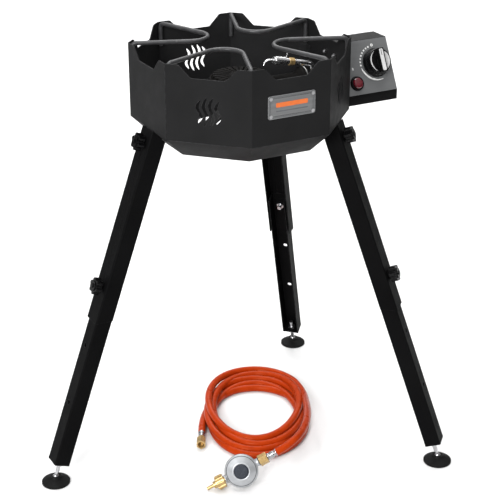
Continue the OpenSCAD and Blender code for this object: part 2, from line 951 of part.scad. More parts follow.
module hose_tail_regulator() {
    color("#d2451e") at_hose() sweep_tube(regulator_tail, hose_r, 10);
}

module hose_ferrules() {
    color("#d8d8da") {
        at_stove_end() rod_x(7.6, 0, 18);
        at_regulator() rod_x(7.6, 55, ferrule_end);
    }
}

module stove_nut() {
    color("goldenrod") at_stove_end() difference() {
        union() {
            hex_x(17, 22, 43);
            rod_x(7.6, 18 + gap, 23);
        }
        rod_x(inlet_r + run_fit, 30, 44);
    }
}

module regulator_nut() {
    color("goldenrod") at_regulator() hex_x(19, 38, 54.7);
}

module regulator_body() {
    r = regulator_d / 2;
    color("#b9bdc1") at_regulator() {
        rotate([90, 0, 0]) rotate_extrude() polygon([
            [0, -15], [15, -15], [r - 6, -9], [r - 5, -2], [r, -1], [r, 3], [r - 1, 4.5], [r - 4, 6],
            [16.5, 12], [14, 12], [14, 10], [0, 10]]);
        rod_x(7.6, 22, 37.9);
        rod_x(8.6, -34, -22);
    }
}

module regulator_cap() {
    color("#2f353c") at_regulator() rotate([90, 0, 0]) rotate_extrude() polygon([
        [0, 10.05], [13.7, 10.05], [13.7, 12.5], [11.5, 14], [0, 14]]);
}

// hand nut and spigot for the gas cylinder's valve
module cylinder_nut() {
    color("goldenrod") at_regulator() {
        rod_x(6, -36.5, -34.2);
        rod_x(12, -52, -36);
        for (a = [0:45:315])
            rotate([a, 0, 0]) translate([0, 0, 11]) rod_x(2.6, -51, -37);
        rod_x(7, -58, -52);
        rod_x(3.2, -72, -58);
    }
}

windscreen_front();
windscreen_rear();
frame_bolts();
pot_rest_front_left();
pot_rest_front_right();
pot_rest_rear_right();
pot_rest_rear_left();
base_pan();
burner_strap();
burner_bowl();
burner_cap();
air_shutter();
gas_jet();
supply_pipe();
igniter_conduit();
igniter_nut();
igniter_holder();
electrodes();
leg_brackets();
outer_leg_right();
outer_leg_rear();
outer_leg_left();
inner_leg_right();
inner_leg_rear();
inner_leg_left();
top_knob_right();
top_knob_rear();
top_knob_left();
height_knob_right();
height_knob_rear();
height_knob_left();
leg_fixings_right();
leg_fixings_rear();
leg_fixings_left();
foot_stud_right();
foot_stud_rear();
foot_stud_left();
foot_pad_right();
foot_pad_rear();
foot_pad_left();
badge_plate();
badge_rivets();
control_housing();
control_floor();
control_fascia();
gas_valve();
gas_knob();
igniter_case();
igniter_button();
box_screws();
gas_inlet();
hose_coil();
hose_tail_stove();
hose_tail_regulator();
hose_ferrules();
stove_nut();
regulator_nut();
regulator_body();
regulator_cap();
cylinder_nut();
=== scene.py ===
import json
import math

import bpy
from mathutils import Matrix, Vector


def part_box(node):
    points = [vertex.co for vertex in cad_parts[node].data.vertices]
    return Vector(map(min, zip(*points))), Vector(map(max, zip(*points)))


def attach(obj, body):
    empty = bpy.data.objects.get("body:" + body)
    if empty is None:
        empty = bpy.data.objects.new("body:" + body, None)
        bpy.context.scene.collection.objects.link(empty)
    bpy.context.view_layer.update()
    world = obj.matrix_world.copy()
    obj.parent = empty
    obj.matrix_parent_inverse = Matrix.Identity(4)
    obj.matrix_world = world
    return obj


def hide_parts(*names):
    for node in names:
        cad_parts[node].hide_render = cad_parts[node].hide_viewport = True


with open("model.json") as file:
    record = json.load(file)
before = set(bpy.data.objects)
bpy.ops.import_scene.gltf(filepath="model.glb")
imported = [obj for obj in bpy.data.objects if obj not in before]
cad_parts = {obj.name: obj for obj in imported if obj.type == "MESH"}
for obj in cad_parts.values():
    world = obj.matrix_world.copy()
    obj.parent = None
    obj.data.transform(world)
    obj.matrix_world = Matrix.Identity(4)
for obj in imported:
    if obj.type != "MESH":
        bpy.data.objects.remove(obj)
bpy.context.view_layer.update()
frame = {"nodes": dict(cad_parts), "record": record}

MM = 0.001
NODES = frame["nodes"]
RECORD = frame["record"]
SIDES = ("right", "rear", "left")

# ---------- sizes repeated from the part's source, in mm ----------
APOTHEM = 200 * math.cos(math.radians(22.5))
RIM = 805.0
SHEET = 2.0
ROD_R = 4.0
ROD_SPLAY = math.radians(24)
ROD_TIP_BEND = 35.0
BOX_X = APOTHEM + 0.3
BOX_FRONT = -71.0
LIP_TOP = RIM - 133 + 18
LEAN = math.atan2(46, 90)
KNOB_X = BOX_X + 72.4
KNOB_V = 55.0
HOSE_D = 14.4
HOSE_YAW = math.radians(-28.3)
REG_POS = Vector((1, -203, 35))
REG_ROLL = math.radians(28)
REG_LEAN = math.radians(23.7)
FERRULE_END = 71.0
STOVE_END = Vector((-79, -29, 10.2))

# the stand's axis: half way between the middles of the two sets of feet
_pads = [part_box("foot_pad_" + s) for s in ("right", "left")]
_mid = [(Vector(lo) + Vector(hi)) / 2 for lo, hi in _pads]
_reach = (_mid[0].x - _mid[1].x) / (1 + math.cos(math.radians(45)))
AXIS_X = (_mid[1].x + _reach) / MM


def at_axis(v):
    """A point in mm, measured from the stand's axis, in metres in the frame."""
    return Vector(((v[0] + AXIS_X) * MM, v[1] * MM, v[2] * MM))


def axis_matrix(rotation, offset):
    """A frame in the object: rotation, then an offset in mm from the stand's axis."""
    return Matrix.Translation(at_axis(offset)) @ rotation.to_4x4() @ Matrix.Scale(MM, 4)


def hose_point(v):
    c, s = math.cos(HOSE_YAW), math.sin(HOSE_YAW)
    return at_axis((v[0] * c - v[1] * s, v[0] * s + v[1] * c, v[2]))


def fascia_frame(x, v):
    """X along the box, Y up its leaning face, Z out of it."""
    rot = Matrix(((1, 0, 0), (0, math.sin(LEAN), -math.cos(LEAN)), (0, math.cos(LEAN), math.sin(LEAN))))
    return axis_matrix(rot, (x, BOX_FRONT + v * math.sin(LEAN), LIP_TOP + v * math.cos(LEAN)))


def panel_frame(k, out, z):
    """X across panel k, Y up, Z out of it."""
    yaw = math.radians(45 * k - 90)
    n = Vector((math.cos(yaw), math.sin(yaw), 0))
    across = Vector((-n.y, n.x, 0))
    rot = Matrix((across, (0, 0, 1), n)).transposed()
    return axis_matrix(rot, (n.x * out, n.y * out, z))


def hose_frame(offset, rotation):
    yaw = Matrix.Rotation(HOSE_YAW, 3, "Z")
    c = yaw @ Vector(offset)
    return axis_matrix(yaw @ rotation, c)


def regulator_frame():
    """X into the hose, -Y out of the regulator's face."""
    rot = Matrix.Rotation(-REG_LEAN, 3, "X") @ Matrix.Rotation(-REG_ROLL, 3, "Y")
    return hose_frame(REG_POS, rot)


# ---------- camera ----------
CAM_AT = at_axis((-1127.0, -2130.1, 1453.5))
CAM_LOOK = Vector((0.434, 0.8064, -0.4018))
cam_data = bpy.data.cameras.new("camera")
cam_data.sensor_width = 36.0
cam_data.lens = 99.85
cam_data.clip_start = 0.05
camera = bpy.data.objects.new("camera", cam_data)
bpy.context.scene.collection.objects.link(camera)
camera.location = CAM_AT
camera.rotation_euler = CAM_LOOK.to_track_quat("-Z", "Y").to_euler()
bpy.context.scene.camera = camera


# ---------- materials ----------
def principled(name):
    mat = bpy.data.materials.new(name)
    mat.use_nodes = True
    return mat, mat.node_tree.nodes, mat.node_tree.links


def mix_rgb(nodes, links, factor, a, b):
    node = nodes.new("ShaderNodeMix")
    node.data_type = "RGBA"
    for sock, value in ((node.inputs[6], a), (node.inputs[7], b)):
        if isinstance(value, tuple):
            sock.default_value = (*value, 1)
        else:
            links.new(value, sock)
    if isinstance(factor, float):
        node.inputs[0].default_value = factor
    else:
        links.new(factor, node.inputs[0])
    return node.outputs[2]


def ramp(nodes, links, value, lo, hi, out_lo=0.0, out_hi=1.0):
    node = nodes.new("ShaderNodeMapRange")
    links.new(value, node.inputs[0])
    for i, v in enumerate((lo, hi, out_lo, out_hi), 1):
        node.inputs[i].default_value = v
    return node.outputs[0]


def finish(
    name, colour, rough, metal=0.0, spec=0.5, grain=(800, 0.15), grain_depth=0.0002, mottle=(30, 0.15),
    rough_var=0.06, stretch=(1, 1, 1), tint=None, tint_at=(0.55, 0.75), wear_and_highlight=None, coat=0.0,
    cells=None, shine=(1, 1, 1),
):
    """A procedural finish. grain and mottle are (features per metre, strength); the edge colour is partly
    wear and partly a painted highlight, shown in patches along the edges; tint is a second colour in
    patches; cells adds a pattern of small facets."""
    mat, nodes, links = principled(name)
    shader = nodes["Principled BSDF"]
    coord = nodes.new("ShaderNodeTexCoord")
    mapping = nodes.new("ShaderNodeMapping")
    mapping.inputs["Scale"].default_value = stretch
    links.new(coord.outputs["Object"], mapping.inputs["Vector"])
    where = mapping.outputs["Vector"]

    def wave(scale, detail=4.0, roughness=0.55):
        tex = nodes.new("ShaderNodeTexNoise")
        tex.inputs["Scale"].default_value = scale
        tex.inputs["Detail"].default_value = detail
        tex.inputs["Roughness"].default_value = roughness
        links.new(where, tex.inputs["Vector"])
        return tex.outputs["Fac"]

    patches = wave(mottle[0])
    dark = tuple(c * (1 - mottle[1]) for c in colour)
    light = tuple(min(1.0, c * (1 + mottle[1])) for c in colour)
    shade = mix_rgb(nodes, links, ramp(nodes, links, patches, 0.3, 0.7), dark, light)
    if tint:
        mask = ramp(nodes, links, wave(mottle[0] * 2.3, 6.0, 0.65), *tint_at)
        shade = mix_rgb(nodes, links, mask, shade, tint)
    height = wave(grain[0], 5.0, 0.6)
    if cells:
        tex = nodes.new("ShaderNodeTexVoronoi")
        tex.inputs["Scale"].default_value = cells[0]
        links.new(where, tex.inputs["Vector"])
        facet = ramp(nodes, links, tex.outputs["Color"], 0.0, 1.0, 0.0, 1.0)
        shade = mix_rgb(nodes, links, ramp(nodes, links, facet, 0.0, 1.0, 0.0, cells[1]), shade, light)
    # edge colour: partly wear, partly a painted highlight along the edges, broken into patches by noise
    if wear_and_highlight:
        bevel = nodes.new("ShaderNodeBevel")
        bevel.samples = 4
        bevel.inputs["Radius"].default_value = 0.0012
        geo = nodes.new("ShaderNodeNewGeometry")
        dot = nodes.new("ShaderNodeVectorMath")
        dot.operation = "DOT_PRODUCT"
        links.new(bevel.outputs["Normal"], dot.inputs[0])
        links.new(geo.outputs["Normal"], dot.inputs[1])
        edge = ramp(nodes, links, dot.outputs["Value"], 0.995, 0.86)
        wear_highlight_patches = ramp(nodes, links, wave(140, 6.0, 0.7), 0.42, 0.62)
        both = nodes.new("ShaderNodeMath")
        both.operation = "MULTIPLY"
        links.new(edge, both.inputs[0])
        links.new(wear_highlight_patches, both.inputs[1])
        shade = mix_rgb(nodes, links, both.outputs[0], shade, wear_and_highlight)
    links.new(shade, shader.inputs["Base Color"])
    gloss = wave(mottle[0] * 4, 5.0, 0.6)
    links.new(
        ramp(nodes, links, gloss, 0.3, 0.7, max(0.03, rough - rough_var), rough + rough_var),
        shader.inputs["Roughness"],
    )
    bump = nodes.new("ShaderNodeBump")
    bump.inputs["Strength"].default_value = grain[1]
    bump.inputs["Distance"].default_value = grain_depth
    links.new(height, bump.inputs["Height"])
    links.new(bump.outputs["Normal"], shader.inputs["Normal"])
    shader.inputs["Metallic"].default_value = metal
    shader.inputs["Specular IOR Level"].default_value = spec
    shader.inputs["Specular Tint"].default_value = (*shine, 1)
    shader.inputs["Coat Weight"].default_value = coat
    shader.inputs["Coat Roughness"].default_value = 0.12
    return mat


# the edge colours given below are partly wear and partly painted highlights along the edges
FINISH = {
    "screen_black": finish(
        "screen_black", (0.0125, 0.0125, 0.0128), 0.5, spec=0.03, grain=(1100, 0.4), mottle=(9, 0.14),
        wear_and_highlight=(0.06, 0.06, 0.062),
    ),
    "screen_grey": finish(
        "screen_grey", (0.014, 0.014, 0.0144), 0.52, spec=0.03, grain=(1100, 0.4), mottle=(9, 0.14),
        wear_and_highlight=(0.06, 0.06, 0.062),
    ),
    "steel_fixings": finish(
        "steel_fixings", (0.45, 0.45, 0.46), 0.3, metal=1.0, grain=(700, 0.12), mottle=(160, 0.18),
        cells=(900, 0.4),
    ),
    "rod_grey": finish(
        "rod_grey", (0.05, 0.05, 0.052), 0.42, metal=0.3, spec=0.3, grain=(900, 0.25), mottle=(60, 0.25),
        tint=(0.09, 0.09, 0.09), tint_at=(0.56, 0.7),
    ),
    "cast_burner": finish(
        "cast_burner", (0.006, 0.0057, 0.0055), 0.8, spec=0.04, grain=(420, 0.8),
        grain_depth=0.0006, mottle=(40, 0.35), tint=(0.01, 0.0085, 0.0075), wear_and_highlight=(0.02, 0.019, 0.018),
    ),
    "black_paint": finish(
        "black_paint", (0.005, 0.005, 0.0052), 0.42, spec=0.08, grain=(1300, 0.3), mottle=(12, 0.2),
        wear_and_highlight=(0.04, 0.04, 0.042),
    ),
    "zinc_plate": finish(
        "zinc_plate", (0.25, 0.25, 0.245), 0.38, metal=1.0, grain=(600, 0.1), mottle=(90, 0.15),
        cells=(260, 0.6),
    ),
    "brass_fittings": finish(
        "brass_fittings", (0.47, 0.32, 0.13), 0.3, metal=0.6, grain=(1500, 0.08), mottle=(120, 0.14),
        tint=(0.30, 0.19, 0.09), tint_at=(0.5, 0.75), wear_and_highlight=(0.75, 0.6, 0.36),
    ),
    "bright_steel": finish(
        "bright_steel", (0.85, 0.85, 0.86), 0.26, metal=1.0, grain=(1200, 0.06), mottle=(120, 0.08),
        rough_var=0.04,
    ),
    "leg_black": finish(
        "leg_black", (0.0034, 0.0034, 0.0036), 0.5, spec=0.02, grain=(1200, 0.4), mottle=(11, 0.22),
        wear_and_highlight=(0.06, 0.06, 0.062),
    ),
    "knob_black": finish(
        "knob_black", (0.002, 0.002, 0.0022), 0.26, spec=0.12, grain=(1900, 0.3), grain_depth=0.00012,
        mottle=(40, 0.15), wear_and_highlight=(0.025, 0.025, 0.025),
    ),
    "pad_rubber": finish(
        "pad_rubber", (0.004, 0.004, 0.004), 0.6, spec=0.12, grain=(900, 0.4), mottle=(60, 0.25),
        tint=(0.022, 0.021, 0.02), tint_at=(0.6, 0.85),
    ),
    "badge_alu": finish(
        "badge_alu", (0.20, 0.203, 0.206), 0.36, metal=0.7, grain=(900, 0.25), mottle=(60, 0.12),
        stretch=(0.05, 1, 3), wear_and_highlight=(0.6, 0.6, 0.61),
    ),
    "fascia_grey": finish(
        "fascia_grey", (0.18, 0.184, 0.187), 0.42, metal=0.5, spec=0.3, grain=(900, 0.3), mottle=(50, 0.12),
        stretch=(0.06, 1, 1.4), wear_and_highlight=(0.3, 0.3, 0.31),
    ),
    "button_red": finish(
        "button_red", (0.09, 0.002, 0.008), 0.1, spec=0.5, grain=(300, 0.05), mottle=(200, 0.3), coat=1.0,
        tint=(0.22, 0.006, 0.02), tint_at=(0.5, 0.8),
    ),
    "hose_orange": finish(
        "hose_orange", (0.36, 0.031, 0.0027), 0.3, spec=0.14, shine=(1, 0.5, 0.28),
        grain=(420, 0.16), grain_depth=0.0003, mottle=(26, 0.1), tint=(0.28, 0.021, 0.002),
        tint_at=(0.5, 0.8),
    ),
    "regulator_alu": finish(
        "regulator_alu", (0.40, 0.41, 0.425), 0.4, metal=0.6, grain=(650, 0.35), grain_depth=0.0003,
        mottle=(90, 0.12), wear_and_highlight=(0.62, 0.63, 0.64),
    ),
    "cap_slate": finish(
        "cap_slate", (0.018, 0.022, 0.032), 0.46, spec=0.3, grain=(1500, 0.3), mottle=(90, 0.2),
        wear_and_highlight=(0.05, 0.055, 0.07),
    ),
}

# finishes of small pieces that exist only here; the inks are those of the dial and the badge
FINISH["white_ink"] = finish("white_ink", (0.72, 0.72, 0.71), 0.5, grain=(900, 0.1), mottle=(300, 0.06))
FINISH["orange_ink"] = finish("orange_ink", (0.62, 0.13, 0.02), 0.4, grain=(900, 0.1), mottle=(120, 0.08))
FINISH["grey_ink"] = finish("grey_ink", (0.09, 0.095, 0.1), 0.42, grain=(900, 0.1), mottle=(120, 0.1))
# light grey of the knob's silver inlay, also used for a painted reflection and a painted edge highlight on
# its face
FINISH["knob_silver_and_highlight"] = finish(
    "knob_silver_and_highlight", (0.5, 0.5, 0.5), 0.36, spec=0.4,
    grain=(900, 0.1), mottle=(90, 0.1),
)
FINISH["ferrule_steel"] = finish(
    "ferrule_steel", (0.38, 0.38, 0.39), 0.24, metal=1.0,
    grain=(1200, 0.06), mottle=(120, 0.08),
)
# dark grey for painted shade in the regulator's grooves and in the gap by its nut
FINISH["seam_shade_grey"] = finish(
    "seam_shade_grey", (0.05, 0.052, 0.055), 0.45, metal=0.6,
    grain=(900, 0.2), mottle=(90, 0.2),
)
FINISH["hollow_black"] = finish(
    "hollow_black", (0.004, 0.004, 0.004), 0.8,
    grain=(900, 0.2), mottle=(60, 0.2),
)

for row in RECORD["subparts"]:
    mesh = NODES[row["node"]].data
    mesh.materials.clear()
    mesh.materials.append(FINISH[row["material_slot"]])


# ---------- mesh helpers ----------
def link(name, data, finish_name, body):
    obj = bpy.data.objects.new(name, data)
    bpy.context.scene.collection.objects.link(obj)
    data.materials.append(FINISH[finish_name])
    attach(obj, body)
    return obj


def new_mesh(name, verts, faces, smooth=True):
    mesh = bpy.data.meshes.new(name)
    mesh.from_pydata([tuple(v) for v in verts], [], faces)
    mesh.update()
    if smooth:
        mesh.polygons.foreach_set("use_smooth", [True] * len(mesh.polygons))
    return mesh


def tube_curve(name, points, radius, resolution=6):
    """A round tube along points: a curve of one open spline."""
    data = bpy.data.curves.new(name, "CURVE")
    data.dimensions = "3D"
    data.bevel_depth = radius
    data.bevel_resolution = resolution
    data.use_fill_caps = True
    spline = data.splines.new("POLY")
    spline.points.add(len(points) - 1)
    for p, q in zip(spline.points, points):
        p.co = (*q, 1)
    spline.use_smooth = True
    return data


def lathe(profile, matrix, steps=48, axis="X"):
    """Turns (along, radius) pairs about the frame's X axis, or about its Z axis."""
    verts, faces = [], []
    for along, radius in profile:
        for i in range(steps):
            a = 2 * math.pi * i / steps
            c, s = radius * math.cos(a), radius * math.sin(a)
            verts.append(matrix @ Vector((along, c, s) if axis == "X" else (c, s, along)))
    for j in range(len(profile) - 1):
        for i in range(steps):
            n = (i + 1) % steps
            faces.append((j * steps + i, j * steps + n, (j + 1) * steps + n, (j + 1) * steps + i))
    return verts, faces


def prisms(outlines, matrix, low, high):
    """Plates of the given outlines between two heights in the frame's Z."""
    verts, faces = [], []
    for outline in outlines:
        first, n = len(verts), len(outline)
        verts += [matrix @ Vector((x, y, low)) for x, y in outline]
        verts += [matrix @ Vector((x, y, high)) for x, y in outline]
        faces.append(tuple(first + n - 1 - i for i in range(n)))
        faces.append(tuple(first + n + i for i in range(n)))
        faces += [(first + i, first + (i + 1) % n, first + n + (i + 1) % n, first + n + i) for i in range(n)]
    return verts, faces


def joined(parts):
    """The vertices and faces of several parts as one mesh's."""
    verts, faces = [], []
    for part_verts, part_faces in parts:
        faces += [tuple(i + len(verts) for i in face) for face in part_faces]
        verts += part_verts
    return verts, faces


def rounded_rect(x0, y0, x1, y1, r, steps=5):
    out = []
    corners = ((x1 - r, y1 - r, 0), (x0 + r, y1 - r, 90), (x0 + r, y0 + r, 180), (x1 - r, y0 + r, 270))
    for cx, cy, start in corners:
        for i in range(steps + 1):
            a = math.radians(start + 90 * i / steps)
            out.append((cx + r * math.cos(a), cy + r * math.sin(a)))
    return out


def sector(cx, cy, inner, outer, from_deg, to_deg, steps=16):
    """Outline of a piece of a ring; inner and outer may be functions of 0..1 along it."""
    def radius(r, u):
        return r(u) if callable(r) else r

    out = []
    for r, order in ((outer, range(steps + 1)), (inner, range(steps, -1, -1))):
        for i in order:
            u = i / steps
            a = math.radians(from_deg + (to_deg - from_deg) * u)
            out.append((cx + radius(r, u) * math.cos(a), cy + radius(r, u) * math.sin(a)))
    return out


def soften(node, width):
    """Rounds the edges of a CAD node with modifiers."""
    obj = NODES[node]
    weld = obj.modifiers.new("weld", "WELD")
    weld.merge_threshold = 0.00001
    bevel = obj.modifiers.new("bevel", "BEVEL")
    bevel.width = width
    bevel.segments = 2
    bevel.limit_method = "ANGLE"
    bevel.angle_limit = math.radians(35)
    bevel.use_clamp_overlap = True
    normal = obj.modifiers.new("normals", "WEIGHTED_NORMAL")
    normal.weight = 90
    normal.keep_sharp = False


# ---------- hose ----------
def bezier(p, steps):
    out = []
    for i in range(steps + 1):
        t = i / steps
        u = 1 - t
        out.append(p[0] * u**3 + p[1] * (3 * u * u * t) + p[2] * (3 * u * t * t) + p[3] * t**3)
    return out


def sequence(values, start, k):
    """Smooth value at k of numbers that belong to start, start + 1, start + 2, ..."""
    u = k - start
    i = max(0, min(len(values) - 2, math.floor(u)))
    t = max(0.0, min(1.0, u - i))
    s = t * t * (3 - 2 * t)
    return values[i] * (1 - s) + values[i + 1] * s


# each turn's furthest left, back, right and front, and the heights it has there, from the stove end on
TURN_LEFT = (-77, -62.5, -69.8, -58.5, -68)
TURN_BACK = (160.6, 174.6, 188.6, 203.4, 216.6)
TURN_RIGHT = (131, 116.5, 124, 118, 130.5)
TURN_FRONT = (-105.3, -91.4, -77.6, -63.7)
QUARTER_Z = (
    7.2, 7.2, 7.2, 7.2,
    7.2, 10.5, 7.2, 11.4,
    19.8, 13.8, 19.8, 15.5,
    23.5, 17.1, 32.5, 19.7,
    33.5, 20.5, 30, 62,
)
TURNS = 4.5
COIL_START = 0.1


def quarter_height(k):
    u = 4 * k
    i = min(int(u), len(QUARTER_Z) - 2)
    t = u - i
    a = QUARTER_Z[max(i - 1, 0)]
    b, c = QUARTER_Z[i], QUARTER_Z[i + 1]
    d = QUARTER_Z[min(i + 2, len(QUARTER_Z) - 1)]
    return 0.5 * (2 * b + (c - a) * t + (2 * a - 5 * b + 4 * c - d) * t**2 + (3 * b - a - 3 * c + d) * t**3)


def coil_point(k):
    left, right = sequence(TURN_LEFT, 0, k), sequence(TURN_RIGHT, 0.5, k)
    back, front = sequence(TURN_BACK, 0.25, k), sequence(TURN_FRONT, 0.75, k)
    a = 2 * math.pi * k
    return Vector((
        (left + right) / 2 - (right - left) / 2 * math.cos(a),
        (back + front) / 2 + (back - front) / 2 * math.sin(a),
        max(HOSE_D / 2, quarter_height(k)),
    ))


def evenly(points, step):
    """The same line with points a fixed distance apart."""
    out, left = [points[0].copy()], step
    for a, b in zip(points, points[1:]):
        d = (b - a).length
        at = 0.0
        while d - at >= left:
            at += left
            out.append(a + (b - a) * (at / d))
            left = step
        left -= d - at
    if (out[-1] - points[-1]).length > step / 2:
        out.append(points[-1].copy())
    else:
        out[-1] = points[-1].copy()
    return out


def relax(points, rounds, low, high):
    for _ in range(rounds):
        before = [p.copy() for p in points]
        for i in range(max(1, low), min(len(points) - 1, high)):
            points[i] = (before[i - 1] + before[i] * 2 + before[i + 1]) / 4


REG_DIR = Vector((
    math.cos(REG_ROLL), math.sin(REG_ROLL) * math.sin(REG_LEAN), math.sin(REG_ROLL) * math.cos(REG_LEAN),
))
steps_per_turn = 72
coil = [
    coil_point(COIL_START + (TURNS - COIL_START) * i / (steps_per_turn * 4.4))
    for i in range(int(steps_per_turn * 4.4) + 1)
]
coil_dir = (coil[1] - coil[0]).normalized()
stove = bezier((STOVE_END, STOVE_END + Vector((-2, 38, -1)), coil[0] - coil_dir * 36, coil[0]), 24)
reg_end = REG_POS + REG_DIR * FERRULE_END
out_dir = Vector((0, -110, 33))
tail = bezier((coil[-1], coil[-1] + out_dir, reg_end + REG_DIR * 90, reg_end), 48)
STEP = 8.0
line = evenly(stove[:-1] + coil + tail[1:], STEP)
from_stove = int(sum((b - a).length for a, b in zip(stove, stove[1:])) / STEP)
from_tail = len(line) - int(sum((b - a).length for a, b in zip(tail, tail[1:])) / STEP)
relax(line, 10, from_stove - 7, from_stove + 7)
relax(line, 24, from_tail - 10, from_tail + 8)
route = [hose_point(p) for p in reversed(line)]
hose = link(
    "gas_hose", tube_curve("gas_hose", route, HOSE_D / 2 * MM, 7), "hose_orange", "stand",
)
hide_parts("hose_coil", "hose_tail_stove", "hose_tail_regulator")


def crimped(start, end, radius, hose_first):
    """Profile of a crimped ferrule that flares out where the hose goes in."""
    n = 60
    out = [(start, radius - 2.4)]
    for i in range(n + 1):
        u = i / n
        deep = 0.5 * max(0.0, math.sin(math.pi * (4 * u - 0.5))) if 0.12 < u < 0.88 else 0.0
        to_hose = u if hose_first else 1 - u
        flare = 1.1 * max(0.0, 1 - to_hose / 0.22) ** 0.6
        lip = 0.5 * (1 - min(1.0, min(u, 1 - u) / 0.04))
        out.append((start + (end - start) * u, radius - deep + flare - lip))
    return out + [(end, radius - 2.4)]


stove_rot = Matrix.Rotation(math.radians(-90), 3, "Z")
stove_frame = hose_frame(STOVE_END, stove_rot)
reg_frame = regulator_frame()
for name, matrix, start, end, hose_first in (
    ("ferrule_stove", stove_frame, -1.0, 18.0, True),
    ("ferrule_regulator", reg_frame, 55.0, 74.0, False),
):
    mesh = new_mesh(name, *lathe(crimped(start, end, 6.4, hose_first), matrix, 40))
    link(name, mesh, "ferrule_steel", "stand")
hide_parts("hose_ferrules")

# the regulator: its two necks come out from under the rim
disc = reg_frame @ Matrix.Rotation(math.pi / 2, 4, "X")
SHELL = (
    (-15, 0.05), (-15, 14.6), (-14.6, 15), (-9.3, 25.5), (-8.6, 25.9), (-2.4, 26.7), (-1.7, 27.2),
    (-1.1, 31.2), (-0.8, 31.6), (2.8, 31.6), (3.2, 31.5), (4.3, 30.7), (4.7, 30.3), (5.9, 28),
    (6.2, 27.3), (11.6, 17), (11.95, 16.3), (11.95, 14.2), (11.6, 14), (10, 13.9), (10, 0.05),
)
HOSE_NECK = ((29, 0.05), (29, 5.6), (31.4, 6.9), (32.2, 7.5), (37.6, 7.5), (37.9, 7.2), (37.9, 4))
CYLINDER_NECK = ((-29, 0.05), (-29, 5.6), (-31.2, 7.6), (-32, 8.5), (-33.7, 8.5), (-34, 8.2), (-34, 4))
necks = [lathe(profile, reg_frame, 40) for profile in (HOSE_NECK, CYLINDER_NECK)]
shell_mesh = new_mesh("regulator_shell", *joined([lathe(SHELL, disc, 96, "Z"), *necks]))
regulator_shell = link("regulator_shell", shell_mesh, "regulator_alu", "stand")
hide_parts("regulator_body")


# ---------- pot rests and igniter conduit: smooth rods in place of the faceted ones ----------
def arc(centre, r, u, v, sweep, n):
    return [
        Vector(centre) + (Vector(u) * math.cos(sweep * i / n) + Vector(v) * math.sin(sweep * i / n)) * r
        for i in range(n + 1)
    ]


def rod_with_ends(name, points, radius, slot, body):
    """A rod whose ends are slightly rounded off."""
    data = tube_curve(name, points, radius, 6)
    spline = data.splines[0]
    for end in (0, -1):
        spline.points[end].radius = 0.86
    return link(name, data, slot, body)


def end_round(points, cut):
    """Adds a point a short way inside each end, so that only the last bit narrows."""
    a, b = points[0], points[1]
    c, d = points[-2], points[-1]
    return [a, a + (b - a).normalized() * cut] + points[1:-1] + [d + (c - d).normalized() * cut, d]


corner_in = (APOTHEM - SHEET) / math.cos(math.radians(22.5)) - ROD_R / math.cos(math.radians(22.5)) - 0.3
end_n = corner_in * math.cos(math.radians(22.5))
end_t = corner_in * math.sin(math.radians(22.5))
apex = end_n - end_t / math.tan(ROD_SPLAY)
bend_n = apex + ROD_TIP_BEND / math.sin(ROD_SPLAY)
DROP_BEND = 9.0
arm_to = math.hypot(end_n - apex, end_t) - DROP_BEND
arm = Vector((math.cos(ROD_SPLAY), math.sin(ROD_SPLAY), 0))
drop_centre = Vector((apex, 0, -DROP_BEND)) + arm * arm_to
half = arc((bend_n, 0, 0), ROD_TIP_BEND, (-1, 0, 0), (0, 1, 0), math.pi / 2 - ROD_SPLAY, 16)
half += arc(drop_centre, DROP_BEND, (0, 0, 1), arm, math.pi / 2, 10)
half.append(drop_centre + arm * DROP_BEND + Vector((0, 0, -34)))
whole = [Vector((p.x, -p.y, p.z)) for p in reversed(half[1:])] + half
for name, k in (("front_left", 7), ("front_right", 1), ("rear_right", 3), ("rear_left", 5)):
    yaw = Matrix.Rotation(math.radians(45 * k - 90), 3, "Z")
    points = [at_axis(yaw @ p + Vector((0, 0, RIM - 1.5))) for p in whole]
    rod = rod_with_ends("rest_rod_" + name, end_round(points, 0.0012), ROD_R * MM, "rod_grey", "stand")
    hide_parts("pot_rest_" + name)

GAS_Z = LIP_TOP + KNOB_V * math.cos(LEAN) - 51.6 * math.sin(LEAN)
BEND = 14.0
CONDUIT_R = 5.4
RISE = math.radians(12)
IGN_Y = (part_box("igniter_conduit")[0][1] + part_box("igniter_conduit")[1][1]) / 2 / MM
over = Vector((-math.cos(RISE), 0, math.sin(RISE)))
conduit = [Vector((BOX_X + 8, 0, GAS_Z - 12.5))]
conduit += arc((156 + BEND, 0, GAS_Z - 12.5 + BEND), BEND, (0, 0, -1), (-1, 0, 0), math.pi / 2, 14)
conduit += arc((156 - BEND, 0, GAS_Z + 11), BEND, (1, 0, 0), (0, 0, 1), math.pi / 2 - RISE, 14)
conduit.append(conduit[-1] + over * 30)
pipe = link(
    "conduit_tube",
    tube_curve("conduit_tube", [at_axis(p + Vector((0, IGN_Y, 0))) for p in conduit], CONDUIT_R * MM, 6),
    "bright_steel", "stand",
)
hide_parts("igniter_conduit")

IGNITER_Z = GAS_Z + 11


def igniter_point(along, side, down):
    """A point along the igniter, in mm: sideways and downwards from its centre line."""
    lift = Vector((math.sin(RISE), 0, math.cos(RISE)))
    start = Vector((156 - BEND, IGN_Y + side, IGNITER_Z)) + lift * BEND
    return at_axis(start + over * along - Vector((0, 0, down)))


PROBE = ((74, 0), (80, 0.1), (85, 0.8), (89, 2.4), (92.5, 5), (95, 8.2), (96.5, 11.5))
probe = None
for name, side, scale in (("spark_probe", -3.0, 1.0), ("flame_probe", 3.0, 0.82)):
    points = [igniter_point(74 + (a - 74) * scale, side, d * scale) for a, d in PROBE]
    wire = link(name, tube_curve(name, points, 1.1 * MM, 4), "bright_steel", "stand")
    if probe is None:
        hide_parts("electrodes")
    probe = wire
